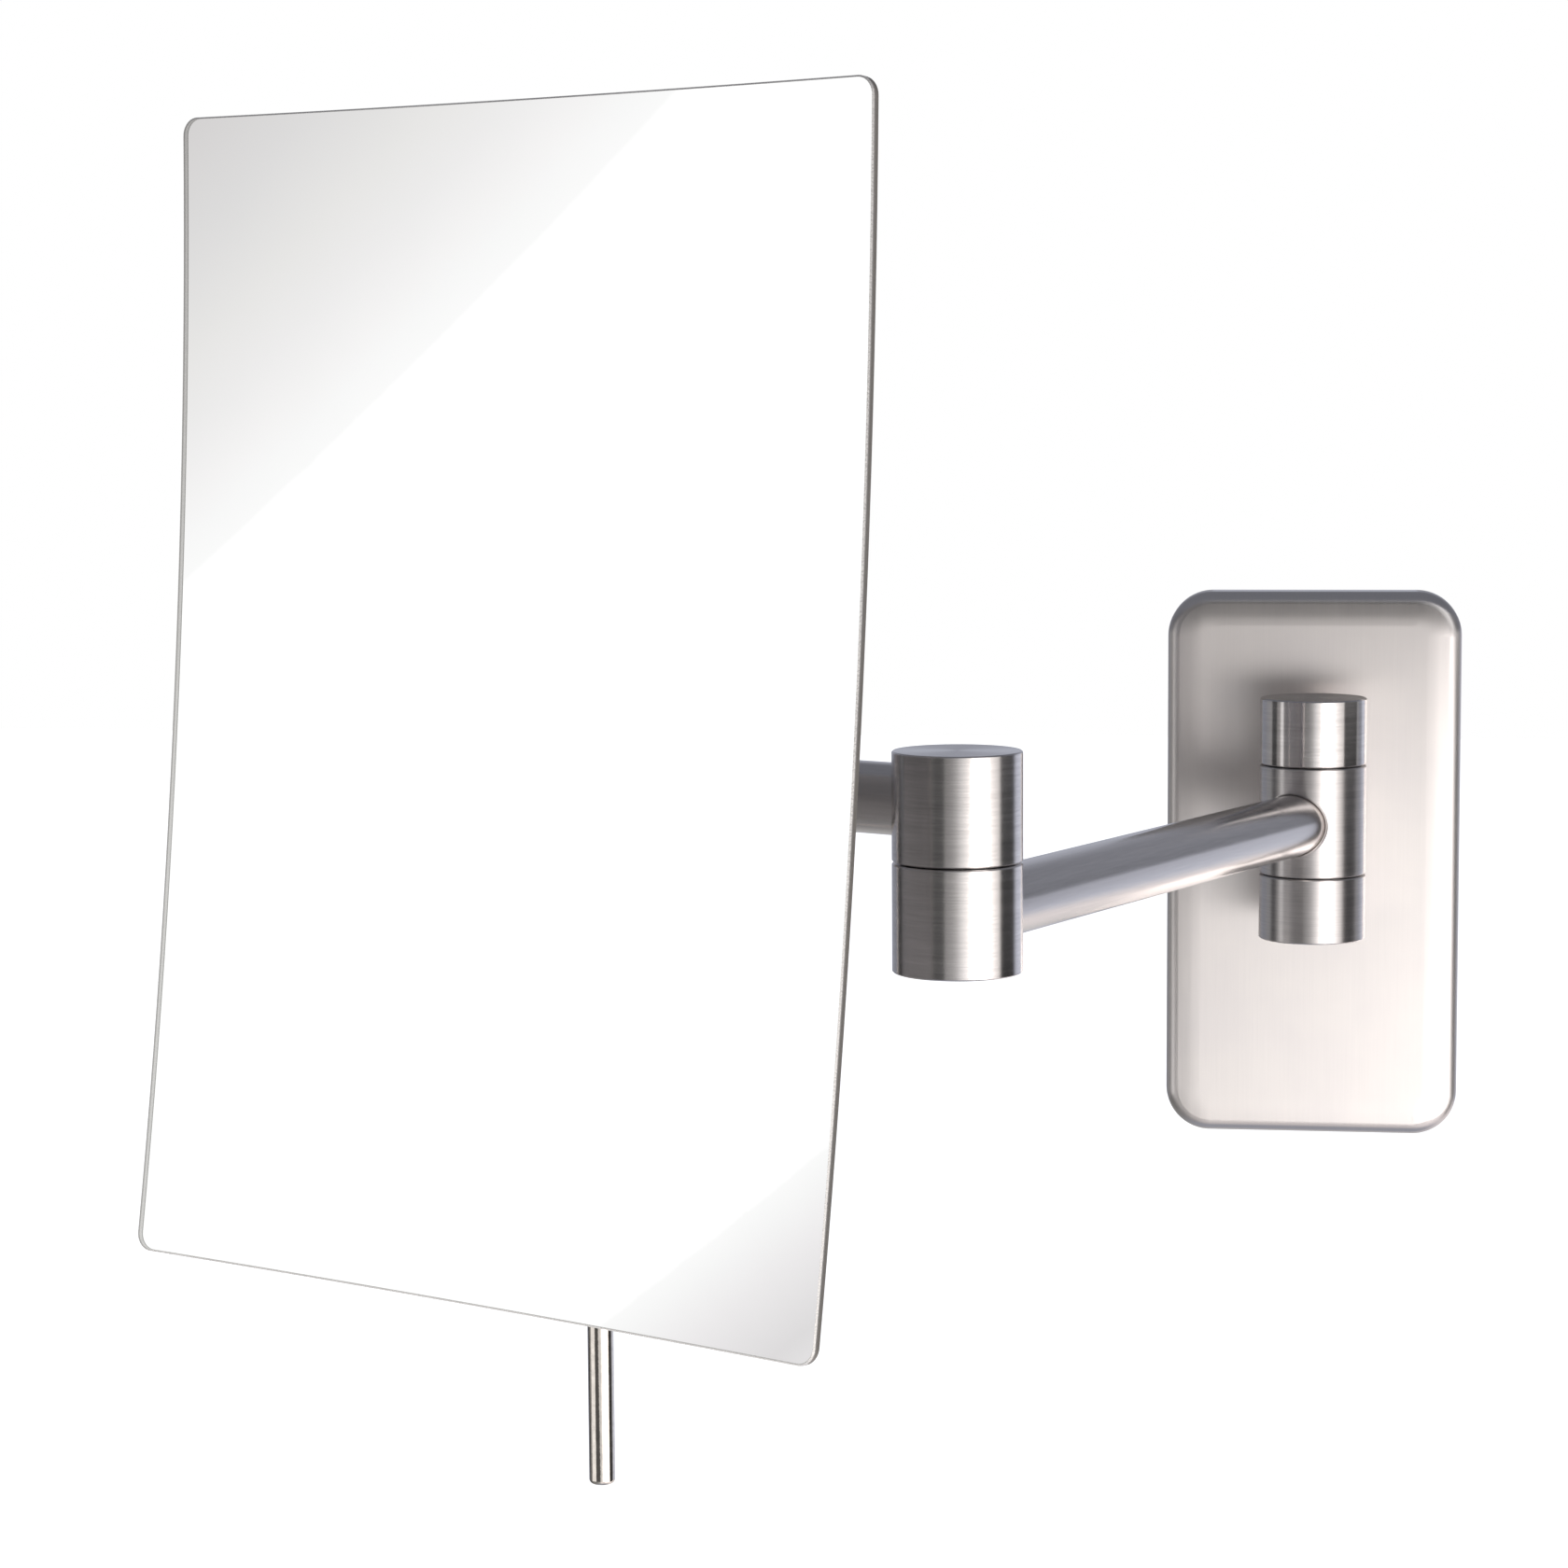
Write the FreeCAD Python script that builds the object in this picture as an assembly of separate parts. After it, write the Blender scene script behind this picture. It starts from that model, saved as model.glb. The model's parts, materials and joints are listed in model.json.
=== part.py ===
import FreeCAD, Part
import math
import os
from FreeCAD import Placement, Rotation, Vector

# Extendable shaving mirror: a wall plate with a swivel post, two arms with an elbow between them,
# and a tilting rectangular concave mirror on a swivel head, with a handle rod under it.
# Millimetres and degrees. The origin is the centre of the wall cover's back, on the wall.
# +X is right, +Z is up, and the object stands out from the wall towards -Y.

# ---------------------------------------------------------------- driving dimensions

# Wall plate
COVER_WIDTH = 65.7
COVER_HEIGHT = 123.8
COVER_DEPTH = 9.0
COVER_CORNER_R = 10.0
COVER_SHOULDER_R = 3.0
COVER_SLOPE_WIDTH = 5.2
COVER_SLOPE_DROP = 0.55
COVER_EASE_R = 46.0
COVER_SHEET = 1.0

# Post: two fixed caps with the arm's knuckle between them
POST_STANDOFF = 34.0
POST_R = 11.6
POST_BOTTOM = -12.8
POST_LOWER_SEAM = 1.5
POST_UPPER_SEAM = 25.6
POST_TOP = 40.2

# Main arm, from the post's axis to the elbow's axis
MAIN_ARM_LENGTH = 163.0
MAIN_ARM_YAW = -113.0
MAIN_ARM_Z = 13.1
TUBE_R = 6.7
TUBE_WALL = 1.5

# Elbow
ELBOW_R = 11.95
ELBOW_BOTTOM = 2.4
ELBOW_SEAM = 22.6
ELBOW_TOP = 42.9
ELBOW_ANGLE = 84.8

# Short arm, from the elbow's axis to the head's axis
SHORT_ARM_LENGTH = 85.3
SHORT_ARM_Z = 33.2

# Head: swivel knuckle, yoke above it and handle rod through both
HEAD_R = 10.0
HEAD_BOTTOM = 24.7
HEAD_SEAM = 41.4
HEAD_TOP = 57.7
HEAD_TURN = 91.4
ROD_R = 2.6
ROD_TIP = -108.3
ROD_TOP = 53.0

# Mirror, and the tilt pivot behind it
GLASS_WIDTH = 165.1
GLASS_HEIGHT = 226.1
GLASS_CORNER_R = 3.5
GLASS_THICKNESS = 1.9
GLASS_CURVE_R = 1540.0
BACKING_THICKNESS = 0.3
TILT = 5.33
PIVOT_REACH = 14.0
PIVOT_Z = 48.05
PIVOT_TO_GLASS = 14.66

# ---------------------------------------------------------------- fits and small parts

SEAM_HALF = 0.15
AXIAL_PLAY = 0.05
RUNNING_FIT = 0.05
SEAT_FIT = 0.02
RIM_CHAMFER = 0.25
MOUTH_R = 0.45

SPINDLE_R = 4.0
BUSH_R = 5.5
BUSH_LENGTH = 7.0
FRICTION_WASHER_R = 10.4
TUBE_SEAT = 8.0
HEAD_TUBE_SEAT = 6.0
PIN_R = 1.0
PIN_LENGTH = 17.0
PLUG_THICKNESS = 2.0

HEX_CORNERS = 6
HALF_TURN = 180


# ---------------------------------------------------------------- shape helpers

def box(low, high):
    """Block between two opposite corners."""
    size = Vector(*high) - Vector(*low)
    return Part.makeBox(size.x, size.y, size.z, Vector(*low))


def disc(radius, low, high, x=0.0):
    """Upright cylinder between two heights."""
    return Part.makeCylinder(radius, high - low, Vector(x, 0, low))


def bar(radius, start, end):
    """Round bar from one point to another."""
    along = Vector(*end) - Vector(*start)
    return Part.makeCylinder(radius, along.Length, Vector(*start), along)


def ring(outer, inner, low, high):
    """Upright ring between two heights."""
    return disc(outer, low, high).cut(disc(inner, low, high))


def is_rim(edge, radius, height):
    """True for a full circle of this radius about the Z axis at this height."""
    curve = edge.Curve
    if not isinstance(curve, Part.Circle):
        return False
    return abs(curve.Radius - radius) < 1e-3 and abs(curve.Center.z - height) < 1e-3


def barrel(radius, low, high):
    """Upright cylinder with its bottom and top rims chamfered."""
    shape = disc(radius, low, high)
    rims = [e for e in shape.Edges if is_rim(e, radius, low) or is_rim(e, radius, high)]
    return shape.makeChamfer(RIM_CHAMFER, rims)


def hex_prism(across_flats, low, high):
    """Upright hexagonal prism about the Z axis."""
    corner_r = across_flats / 2 / math.cos(math.pi / HEX_CORNERS)
    turns = [2 * math.pi * k / HEX_CORNERS for k in range(HEX_CORNERS + 1)]
    points = [Vector(corner_r * math.cos(t), corner_r * math.sin(t), low) for t in turns]
    return Part.Face(Part.makePolygon(points)).extrude(Vector(0, 0, high - low))


def dished_washer(outer, inner, thickness, low, high):
    """Conical spring washer, its outer edge at the bottom and its inner edge at the top."""
    profile = [
        Vector(outer, 0, low),
        Vector(inner, 0, high - thickness),
        Vector(inner, 0, high),
        Vector(outer, 0, low + thickness),
        Vector(outer, 0, low),
    ]
    face = Part.Face(Part.makePolygon(profile))
    return face.revolve(Vector(0, 0, 0), Vector(0, 0, 1), 2 * HALF_TURN)


def rounded_slab(width, height, corner_r, near, far):
    """Slab in the YZ plane, rounded at its four corners, from x = near to x = far."""
    shape = box((near, -width / 2, -height / 2), (far, width / 2, height / 2))
    corners = [e for e in shape.Edges if abs(e.tangentAt(e.FirstParameter).x) > 0.99]
    return shape.makeFillet(corner_r, corners)


def socket_screw(shank_r, head_r, head_height, length):
    """Screw along +Z, its head under z = 0 with a hexagon socket and its shank above."""
    head = disc(head_r, -head_height, 0)
    rim = [e for e in head.Edges if is_rim(e, head_r, -head_height)]
    head = head.makeFillet(head_height / 3, rim)
    socket = hex_prism(shank_r * 1.2, -head_height, -head_height / 3)
    return head.fuse(disc(shank_r, 0, length)).removeSplitter().cut(socket)


def grub_screw(radius, length):
    """Headless screw from z = 0 up, with a hexagon socket in its lower end."""
    return disc(radius, 0, length).cut(hex_prism(radius, 0, length / 2))


def group(solids):
    """Several separate solids as one node."""
    return Part.makeCompound(list(solids))


def soften_mouth(shape, radius, along):
    """Round the edge where a cross hole opens in a barrel's side, on the side given by along."""
    mouth = []
    for edge in shape.Edges:
        if isinstance(edge.Curve, (Part.Circle, Part.Line)):
            continue
        points = edge.discretize(9)
        on_skin = all(abs(math.hypot(p.x, p.y) - radius) < 0.01 for p in points)
        if on_skin and all(p.x * along > 0 for p in points):
            mouth.append(edge)
    return shape.makeFillet(MOUTH_R, mouth)


# ---------------------------------------------------------------- frames of the moving pieces

def upright(x, y, yaw):
    """Frame with its Z axis up, at a point, turned by yaw."""
    return Placement(Vector(x, y, 0), Rotation(Vector(0, 0, 1), yaw))


def step(frame, distance, yaw):
    """Frame at a distance along another frame's X axis, turned to yaw."""
    point = frame.multVec(Vector(distance, 0, 0))
    return upright(point.x, point.y, yaw)


SHORT_ARM_YAW = MAIN_ARM_YAW + HALF_TURN + ELBOW_ANGLE
HEAD_YAW = SHORT_ARM_YAW + HEAD_TURN

WALL_FRAME = Placement()
POST_FRAME = upright(0, -POST_STANDOFF, MAIN_ARM_YAW)
ELBOW_LOWER_FRAME = step(POST_FRAME, MAIN_ARM_LENGTH, MAIN_ARM_YAW)
ELBOW_UPPER_FRAME = step(ELBOW_LOWER_FRAME, 0, SHORT_ARM_YAW)
HEAD_LOWER_FRAME = step(ELBOW_UPPER_FRAME, SHORT_ARM_LENGTH, SHORT_ARM_YAW)
HEAD_FRAME = step(HEAD_LOWER_FRAME, 0, HEAD_YAW)
TILT_FRAME = HEAD_FRAME.multiply(
    Placement(Vector(PIVOT_REACH, 0, PIVOT_Z), Rotation(Vector(0, 1, 0), -TILT))
)

# ---------------------------------------------------------------- wall plate

BRACKET_WIDTH = 44.0
BRACKET_GAP = 0.4
BRACKET_SHEET = 1.5
BRACKET_REACH = 5.0
WALL_SCREW_SPACING = 90.0
WALL_SCREW_HOLE_R = 2.5
STIFFENER_SHEET = 2.0
STIFFENER_WIDTH = 40.0
STIFFENER_HEIGHT = 70.0
SET_SCREW_R = 1.5
SET_SCREW_LENGTH = 5.0
SET_SCREW_Y = -3.0
STANDOFF_R = 5.0
STANDOFF_SCREW_R = 2.5
STANDOFF_SCREW_LENGTH = 13.0
STANDOFF_SCREW_HEAD = 2.6
STANDOFF_SCREW_HEAD_R = 4.5
STANDOFF_WASHER = 0.8
STANDOFF_END = -POST_STANDOFF + TUBE_SEAT
STANDOFF_HEIGHTS = [
    (POST_BOTTOM + POST_LOWER_SEAM) / 2,
    (POST_UPPER_SEAM + POST_TOP) / 2,
]
FRONT_INSIDE = -COVER_DEPTH + COVER_SHEET
STIFFENER_BACK = FRONT_INSIDE + STIFFENER_SHEET


def facing_wall(shape):
    """Turn a slab modelled along +X so that its +X side faces the room, along -Y."""
    return shape.transformGeometry(Rotation(Vector(0, 0, 1), -HALF_TURN / 2).toMatrix())


def edges_at(shape, x):
    """Edges that lie flat in the plane at x."""
    boxes = [(e, e.BoundBox) for e in shape.Edges]
    return [e for e, b in boxes if b.XLength < 1e-3 and abs(b.XMin - x) < 1e-3]


def pan(width, height, depth, corner_r, shoulder_r):
    """Solid pan shape standing on the wall, with round corners and a soft front: a round
    shoulder, then a gentle slope that eases into the flat face."""
    shape = rounded_slab(width, height, corner_r, 0, depth)
    shape = shape.makeChamfer(COVER_SLOPE_DROP, COVER_SLOPE_WIDTH, edges_at(shape, depth))
    shape = shape.makeFillet(shoulder_r, edges_at(shape, depth - COVER_SLOPE_DROP))
    return facing_wall(shape.makeFillet(COVER_EASE_R, edges_at(shape, depth)))


def screw_holes(radius, low_y, high_y, heights):
    """Bars along Y at x = 0, to cut holes with."""
    return group([bar(radius, (0, low_y, z), (0, high_y, z)) for z in heights])


def wall_cover():
    outer = pan(COVER_WIDTH, COVER_HEIGHT, COVER_DEPTH, COVER_CORNER_R, COVER_SHOULDER_R)
    inner = pan(
        COVER_WIDTH - 2 * COVER_SHEET,
        COVER_HEIGHT - 2 * COVER_SHEET,
        COVER_DEPTH - COVER_SHEET,
        COVER_CORNER_R - COVER_SHEET,
        COVER_SHOULDER_R - COVER_SHEET,
    )
    holes = screw_holes(STANDOFF_SCREW_R + SEAT_FIT, -COVER_DEPTH, 0, STANDOFF_HEIGHTS)
    bottom = -COVER_HEIGHT / 2
    set_hole = bar(
        SET_SCREW_R + SEAT_FIT,
        (0, SET_SCREW_Y, bottom),
        (0, SET_SCREW_Y, bottom + 2 * COVER_SHEET),
    )
    return outer.cut(inner).cut(holes).cut(set_hole)


def wall_bracket():
    """Strap flat on the wall, its ends turned forward inside the cover."""
    half_w = BRACKET_WIDTH / 2
    half_h = COVER_HEIGHT / 2 - COVER_SHEET - BRACKET_GAP
    shape = box((-half_w, -BRACKET_REACH, -half_h), (half_w, 0, half_h))
    hollow_h = half_h - BRACKET_SHEET
    hollow = box((-half_w, -BRACKET_REACH, -hollow_h), (half_w, -BRACKET_SHEET, hollow_h))
    heights = [-WALL_SCREW_SPACING / 2, WALL_SCREW_SPACING / 2]
    holes = screw_holes(WALL_SCREW_HOLE_R, -BRACKET_SHEET, 0, heights)
    set_hole = bar(
        SET_SCREW_R + SEAT_FIT,
        (0, SET_SCREW_Y, -half_h),
        (0, SET_SCREW_Y, -hollow_h),
    )
    return shape.cut(hollow).cut(holes).cut(set_hole)


def cover_set_screw():
    screw = grub_screw(SET_SCREW_R, SET_SCREW_LENGTH)
    screw.translate(Vector(0, SET_SCREW_Y, -COVER_HEIGHT / 2 + SEAT_FIT))
    return screw


def stiffener_plate():
    """Plate behind the cover's front that spreads the post's load."""
    plate = rounded_slab(STIFFENER_WIDTH, STIFFENER_HEIGHT, STANDOFF_R, 0, STIFFENER_SHEET)
    plate = facing_wall(plate)
    middle = sum(STANDOFF_HEIGHTS) / 2
    plate.translate(Vector(0, STIFFENER_BACK, middle))
    hole_r = STANDOFF_SCREW_R + SEAT_FIT
    return plate.cut(screw_holes(hole_r, FRONT_INSIDE, STIFFENER_BACK, STANDOFF_HEIGHTS))


def post_standoffs():
    solids = []
    for z in STANDOFF_HEIGHTS:
        post = bar(STANDOFF_R, (0, STANDOFF_END, z), (0, -COVER_DEPTH, z))
        tapped_end = -COVER_DEPTH - STANDOFF_SCREW_LENGTH
        thread = bar(STANDOFF_SCREW_R, (0, tapped_end, z), (0, -COVER_DEPTH, z))
        solids.append(post.cut(thread))
    return group(solids)


def standoff_screws():
    solids = []
    head_seat = STIFFENER_BACK + STANDOFF_WASHER
    for z in STANDOFF_HEIGHTS:
        length = head_seat + COVER_DEPTH + STANDOFF_SCREW_LENGTH - 1
        screw = socket_screw(
            STANDOFF_SCREW_R - SEAT_FIT, STANDOFF_SCREW_HEAD_R, STANDOFF_SCREW_HEAD, length
        )
        screw.Placement = Placement(
            Vector(0, head_seat, z), Rotation(Vector(0, 0, 1), Vector(0, -1, 0))
        )
        solids.append(screw)
    return group(solids)


def standoff_washers():
    solids = []
    for z in STANDOFF_HEIGHTS:
        end = STIFFENER_BACK + STANDOFF_WASHER
        washer = bar(STANDOFF_R, (0, STIFFENER_BACK, z), (0, end, z))
        hole = bar(STANDOFF_SCREW_R, (0, STIFFENER_BACK, z), (0, end, z))
        solids.append(washer.cut(hole))
    return group(solids)


# ---------------------------------------------------------------- post
# The post's fixed pieces are modelled about the Z axis and moved out by the stand-off.

SPINDLE_HEAD_R = 6.2
SPINDLE_HEAD = 3.7
SPINDLE_RECESS_R = 6.5
SPINDLE_HEAD_TOP = POST_BOTTOM + 6.5
SPINDLE_TOP = POST_TOP - 5.7
SPRING_SEAT_R = 7.6
SPRING_HEIGHT = 1.2
SPRING_SHEET = 0.5
PLUG_RECESS = 0.3


def standoff_seat(z):
    """Hole in the back of a post cap, which is its +Y side, for a stand-off."""
    return bar(STANDOFF_R + SEAT_FIT, (0, TUBE_SEAT, z), (0, POST_R + 1, z))


def post_cap_lower():
    top = POST_LOWER_SEAM - SEAM_HALF
    cap = barrel(POST_R, POST_BOTTOM, top)
    recess = disc(SPINDLE_RECESS_R, POST_BOTTOM, SPINDLE_HEAD_TOP)
    bore = disc(SPINDLE_R + SEAT_FIT, SPINDLE_HEAD_TOP, top)
    return cap.cut(recess).cut(bore).cut(standoff_seat(STANDOFF_HEIGHTS[0]))


def post_cap_upper():
    bottom = POST_UPPER_SEAM + SEAM_HALF
    cap = barrel(POST_R, bottom, POST_TOP)
    bore = disc(SPINDLE_R + SEAT_FIT, bottom, SPINDLE_TOP + 1)
    return cap.cut(bore).cut(standoff_seat(STANDOFF_HEIGHTS[1]))


def post_spindle():
    """Shouldered bolt up through the lower cap and the knuckle into the upper cap."""
    length = SPINDLE_TOP - SPINDLE_HEAD_TOP
    spindle = socket_screw(SPINDLE_R, SPINDLE_HEAD_R, SPINDLE_HEAD, length)
    spindle.translate(Vector(0, 0, SPINDLE_HEAD_TOP))
    return spindle


def post_plug():
    """Push-in cover under the spindle's head."""
    low = POST_BOTTOM + PLUG_RECESS
    high = SPINDLE_HEAD_TOP - SPINDLE_HEAD - PLUG_RECESS
    return disc(SPINDLE_RECESS_R - SEAT_FIT, low, high)


def post_friction_washers():
    hole = SPINDLE_R + RUNNING_FIT
    lower = (POST_LOWER_SEAM - SEAM_HALF, POST_LOWER_SEAM + SEAM_HALF - AXIAL_PLAY)
    upper = (POST_UPPER_SEAM - SEAM_HALF + AXIAL_PLAY, POST_UPPER_SEAM + SEAM_HALF)
    return group([ring(FRICTION_WASHER_R, hole, *heights) for heights in (lower, upper)])


def post_spring_washer():
    high = POST_UPPER_SEAM - SEAM_HALF + AXIAL_PLAY
    low = high - SPRING_HEIGHT
    outer = SPRING_SEAT_R - 4 * RUNNING_FIT
    return dished_washer(outer, SPINDLE_R + RUNNING_FIT, SPRING_SHEET, low, high)


# ---------------------------------------------------------------- main arm

KNUCKLE_LOW = POST_LOWER_SEAM + SEAM_HALF
KNUCKLE_HIGH = POST_UPPER_SEAM - SEAM_HALF
KNUCKLE_PIN_X = 9.8
PIN_INSET = 0.2


def tube_seat(radius, seat, z, along):
    """Bar that cuts a tube's seat into a barrel's side, from the seat outwards."""
    return bar(TUBE_R + SEAT_FIT, (along * seat, 0, z), (along * (radius + 5), 0, z))


def seated_barrel(radius, low, high, seat, z, along):
    """Barrel with a tube's seat in its side, the seat's mouth rounded."""
    shape = barrel(radius, low, high)
    shape = shape.cut(tube_seat(radius, seat, z, along))
    return soften_mouth(shape, radius, along)


def pin(x, low, high):
    """Upright spring pin that holds a tube in its barrel."""
    return disc(PIN_R, low, high, x)


def pin_hole(x, low, high):
    return disc(PIN_R + SEAT_FIT, low, high, x)


def post_knuckle():
    shape = seated_barrel(POST_R, KNUCKLE_LOW, KNUCKLE_HIGH, TUBE_SEAT, MAIN_ARM_Z, 1)
    bore = disc(BUSH_R + SEAT_FIT, KNUCKLE_LOW, KNUCKLE_HIGH)
    seat = disc(SPRING_SEAT_R, KNUCKLE_HIGH - SPRING_HEIGHT, KNUCKLE_HIGH)
    pin_low = KNUCKLE_HIGH - PIN_INSET - PIN_LENGTH
    return shape.cut(bore).cut(seat).cut(pin_hole(KNUCKLE_PIN_X, pin_low, KNUCKLE_HIGH))


def post_bushes():
    spans = [
        (KNUCKLE_LOW, KNUCKLE_LOW + BUSH_LENGTH),
        (KNUCKLE_HIGH - SPRING_HEIGHT - BUSH_LENGTH, KNUCKLE_HIGH - SPRING_HEIGHT),
    ]
    return group([ring(BUSH_R, SPINDLE_R + RUNNING_FIT, *span) for span in spans])


def tube(start, end, z, pin_spots):
    """Tube along X with cross holes for its pins."""
    outer = bar(TUBE_R, (start, 0, z), (end, 0, z))
    inner = bar(TUBE_R - TUBE_WALL, (start, 0, z), (end, 0, z))
    shape = outer.cut(inner)
    for x in pin_spots:
        shape = shape.cut(pin_hole(x, z - 2 * TUBE_R, z + 2 * TUBE_R))
    return shape


def main_arm_tube():
    end = MAIN_ARM_LENGTH - TUBE_SEAT
    spots = [KNUCKLE_PIN_X, MAIN_ARM_LENGTH - KNUCKLE_PIN_X]
    return tube(TUBE_SEAT, end, MAIN_ARM_Z, spots)


def main_arm_pins():
    high = KNUCKLE_HIGH - PIN_INSET
    elbow_high = ELBOW_SEAM - SEAM_HALF - PIN_INSET
    return group([
        pin(KNUCKLE_PIN_X, high - PIN_LENGTH, high),
        pin(MAIN_ARM_LENGTH - KNUCKLE_PIN_X, elbow_high - PIN_LENGTH, elbow_high),
    ])


# ---------------------------------------------------------------- elbow

NUT_RECESS_R = 7.2
NUT_RECESS_TOP = ELBOW_BOTTOM + 7.2
ELBOW_SPINDLE_TOP = ELBOW_TOP - 6.9
THREAD_R = 3.0
NUT_HEIGHT = 3.0
NUT_ACROSS_FLATS = 10.0
ELBOW_PLUG_LOW = ELBOW_BOTTOM + PLUG_RECESS
NUT_TOP = NUT_RECESS_TOP - SPRING_HEIGHT - AXIAL_PLAY


def elbow_lower_barrel():
    high = ELBOW_SEAM - SEAM_HALF
    shape = seated_barrel(ELBOW_R, ELBOW_BOTTOM, high, TUBE_SEAT, MAIN_ARM_Z, -1)
    recess = disc(NUT_RECESS_R, ELBOW_BOTTOM, NUT_RECESS_TOP)
    bore = disc(BUSH_R + SEAT_FIT, NUT_RECESS_TOP, high)
    pin_low = high - PIN_INSET - PIN_LENGTH
    return shape.cut(recess).cut(bore).cut(pin_hole(-KNUCKLE_PIN_X, pin_low, high))


def elbow_bush():
    return ring(BUSH_R, SPINDLE_R + RUNNING_FIT, NUT_RECESS_TOP, ELBOW_SEAM - SEAM_HALF)


def elbow_plug():
    """Push-in cover that hides the nut from below."""
    return disc(NUT_RECESS_R - SEAT_FIT, ELBOW_PLUG_LOW, ELBOW_PLUG_LOW + PLUG_THICKNESS)


def elbow_upper_barrel():
    low = ELBOW_SEAM + SEAM_HALF
    shape = seated_barrel(ELBOW_R, low, ELBOW_TOP, TUBE_SEAT, SHORT_ARM_Z, 1)
    bore = disc(SPINDLE_R + SEAT_FIT, low, ELBOW_SPINDLE_TOP + 1)
    pin_high = low + PIN_INSET + PIN_LENGTH
    return shape.cut(bore).cut(pin_hole(KNUCKLE_PIN_X, low, pin_high))


def elbow_spindle():
    """Shaft pressed into the upper barrel, threaded at its lower end for the nut."""
    shaft = disc(SPINDLE_R, NUT_RECESS_TOP, ELBOW_SPINDLE_TOP)
    thread = disc(THREAD_R, NUT_TOP - NUT_HEIGHT, NUT_RECESS_TOP)
    return shaft.fuse(thread).removeSplitter()


def elbow_friction_washer():
    low = ELBOW_SEAM - SEAM_HALF + AXIAL_PLAY
    return ring(FRICTION_WASHER_R, SPINDLE_R + SEAT_FIT, low, ELBOW_SEAM + SEAM_HALF)


def elbow_spring_washer():
    high = NUT_RECESS_TOP - AXIAL_PLAY
    outer = NUT_RECESS_R - 4 * RUNNING_FIT
    return dished_washer(outer, THREAD_R + SEAT_FIT, SPRING_SHEET, NUT_TOP, high)


def elbow_nut():
    nut = hex_prism(NUT_ACROSS_FLATS, NUT_TOP - NUT_HEIGHT, NUT_TOP)
    return nut.cut(disc(THREAD_R + SEAT_FIT, NUT_TOP - NUT_HEIGHT, NUT_TOP))


# ---------------------------------------------------------------- short arm

HEAD_PIN_X = 7.9
HEAD_PIN_LENGTH = 15.0
HEAD_BUSH_R = 4.2
HEAD_KNUCKLE_HIGH = HEAD_SEAM - SEAM_HALF
YOKE_LOW = HEAD_SEAM + SEAM_HALF


def short_arm_tube():
    end = SHORT_ARM_LENGTH - HEAD_TUBE_SEAT
    spots = [KNUCKLE_PIN_X, SHORT_ARM_LENGTH - HEAD_PIN_X]
    return tube(TUBE_SEAT, end, SHORT_ARM_Z, spots)


def short_arm_pins():
    low = ELBOW_SEAM + SEAM_HALF + PIN_INSET
    head_high = HEAD_KNUCKLE_HIGH - PIN_INSET
    return group([
        pin(KNUCKLE_PIN_X, low, low + PIN_LENGTH),
        pin(SHORT_ARM_LENGTH - HEAD_PIN_X, head_high - HEAD_PIN_LENGTH, head_high),
    ])


def head_knuckle():
    shape = seated_barrel(HEAD_R, HEAD_BOTTOM, HEAD_KNUCKLE_HIGH, HEAD_TUBE_SEAT, SHORT_ARM_Z, -1)
    bore = disc(HEAD_BUSH_R + SEAT_FIT, HEAD_BOTTOM, HEAD_KNUCKLE_HIGH)
    pin_low = HEAD_KNUCKLE_HIGH - PIN_INSET - HEAD_PIN_LENGTH
    return shape.cut(bore).cut(pin_hole(-HEAD_PIN_X, pin_low, HEAD_KNUCKLE_HIGH))


def head_bush():
    return ring(HEAD_BUSH_R, ROD_R + RUNNING_FIT, HEAD_BOTTOM, HEAD_KNUCKLE_HIGH)


# ---------------------------------------------------------------- swivel head

TONGUE_HALF = 4.0
TONGUE_R = 5.5
YOKE_FRONT = 7.6
TILT_BOLT_R = 2.5
HEAD_WASHER_R = 8.8
COLLAR_R = 6.0
COLLAR_HEIGHT = 6.4
COLLAR_SPRING = 0.7
COLLAR_SPRING_SHEET = 0.3
COLLAR_HIGH = HEAD_BOTTOM - COLLAR_SPRING
COLLAR_SCREW_R = 1.5
ROD_END_ROUND = 0.9


def head_yoke():
    """Upper half of the head: a barrel cut back in front, with a tongue for the tilt bolt."""
    body = barrel(HEAD_R, YOKE_LOW, HEAD_TOP)
    body = body.cut(box((YOKE_FRONT, -HEAD_R, YOKE_LOW), (HEAD_R + 1, HEAD_R, HEAD_TOP)))
    tongue = box(
        (0, -TONGUE_HALF, PIVOT_Z - TONGUE_R),
        (PIVOT_REACH, TONGUE_HALF, PIVOT_Z + TONGUE_R),
    )
    nose = bar(
        TONGUE_R, (PIVOT_REACH, -TONGUE_HALF, PIVOT_Z), (PIVOT_REACH, TONGUE_HALF, PIVOT_Z)
    )
    bolt_hole = bar(
        TILT_BOLT_R + RUNNING_FIT,
        (PIVOT_REACH, -TONGUE_HALF, PIVOT_Z),
        (PIVOT_REACH, TONGUE_HALF, PIVOT_Z),
    )
    rod_hole = disc(ROD_R + SEAT_FIT, YOKE_LOW, ROD_TOP + 1)
    return body.fuse([tongue, nose]).removeSplitter().cut(bolt_hole).cut(rod_hole)


def handle_rod():
    """Swivel shaft of the head, which runs on downwards as the handle."""
    rod = disc(ROD_R, ROD_TIP, ROD_TOP)
    tip = [e for e in rod.Edges if is_rim(e, ROD_R, ROD_TIP)]
    return rod.makeFillet(ROD_END_ROUND, tip)


def head_friction_washer():
    low = HEAD_SEAM - SEAM_HALF + AXIAL_PLAY
    return ring(HEAD_WASHER_R, ROD_R + SEAT_FIT, low, YOKE_LOW)


def head_spring_washer():
    high = HEAD_BOTTOM - AXIAL_PLAY
    return dished_washer(COLLAR_R - 1, ROD_R + SEAT_FIT, COLLAR_SPRING_SHEET, COLLAR_HIGH, high)


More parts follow.
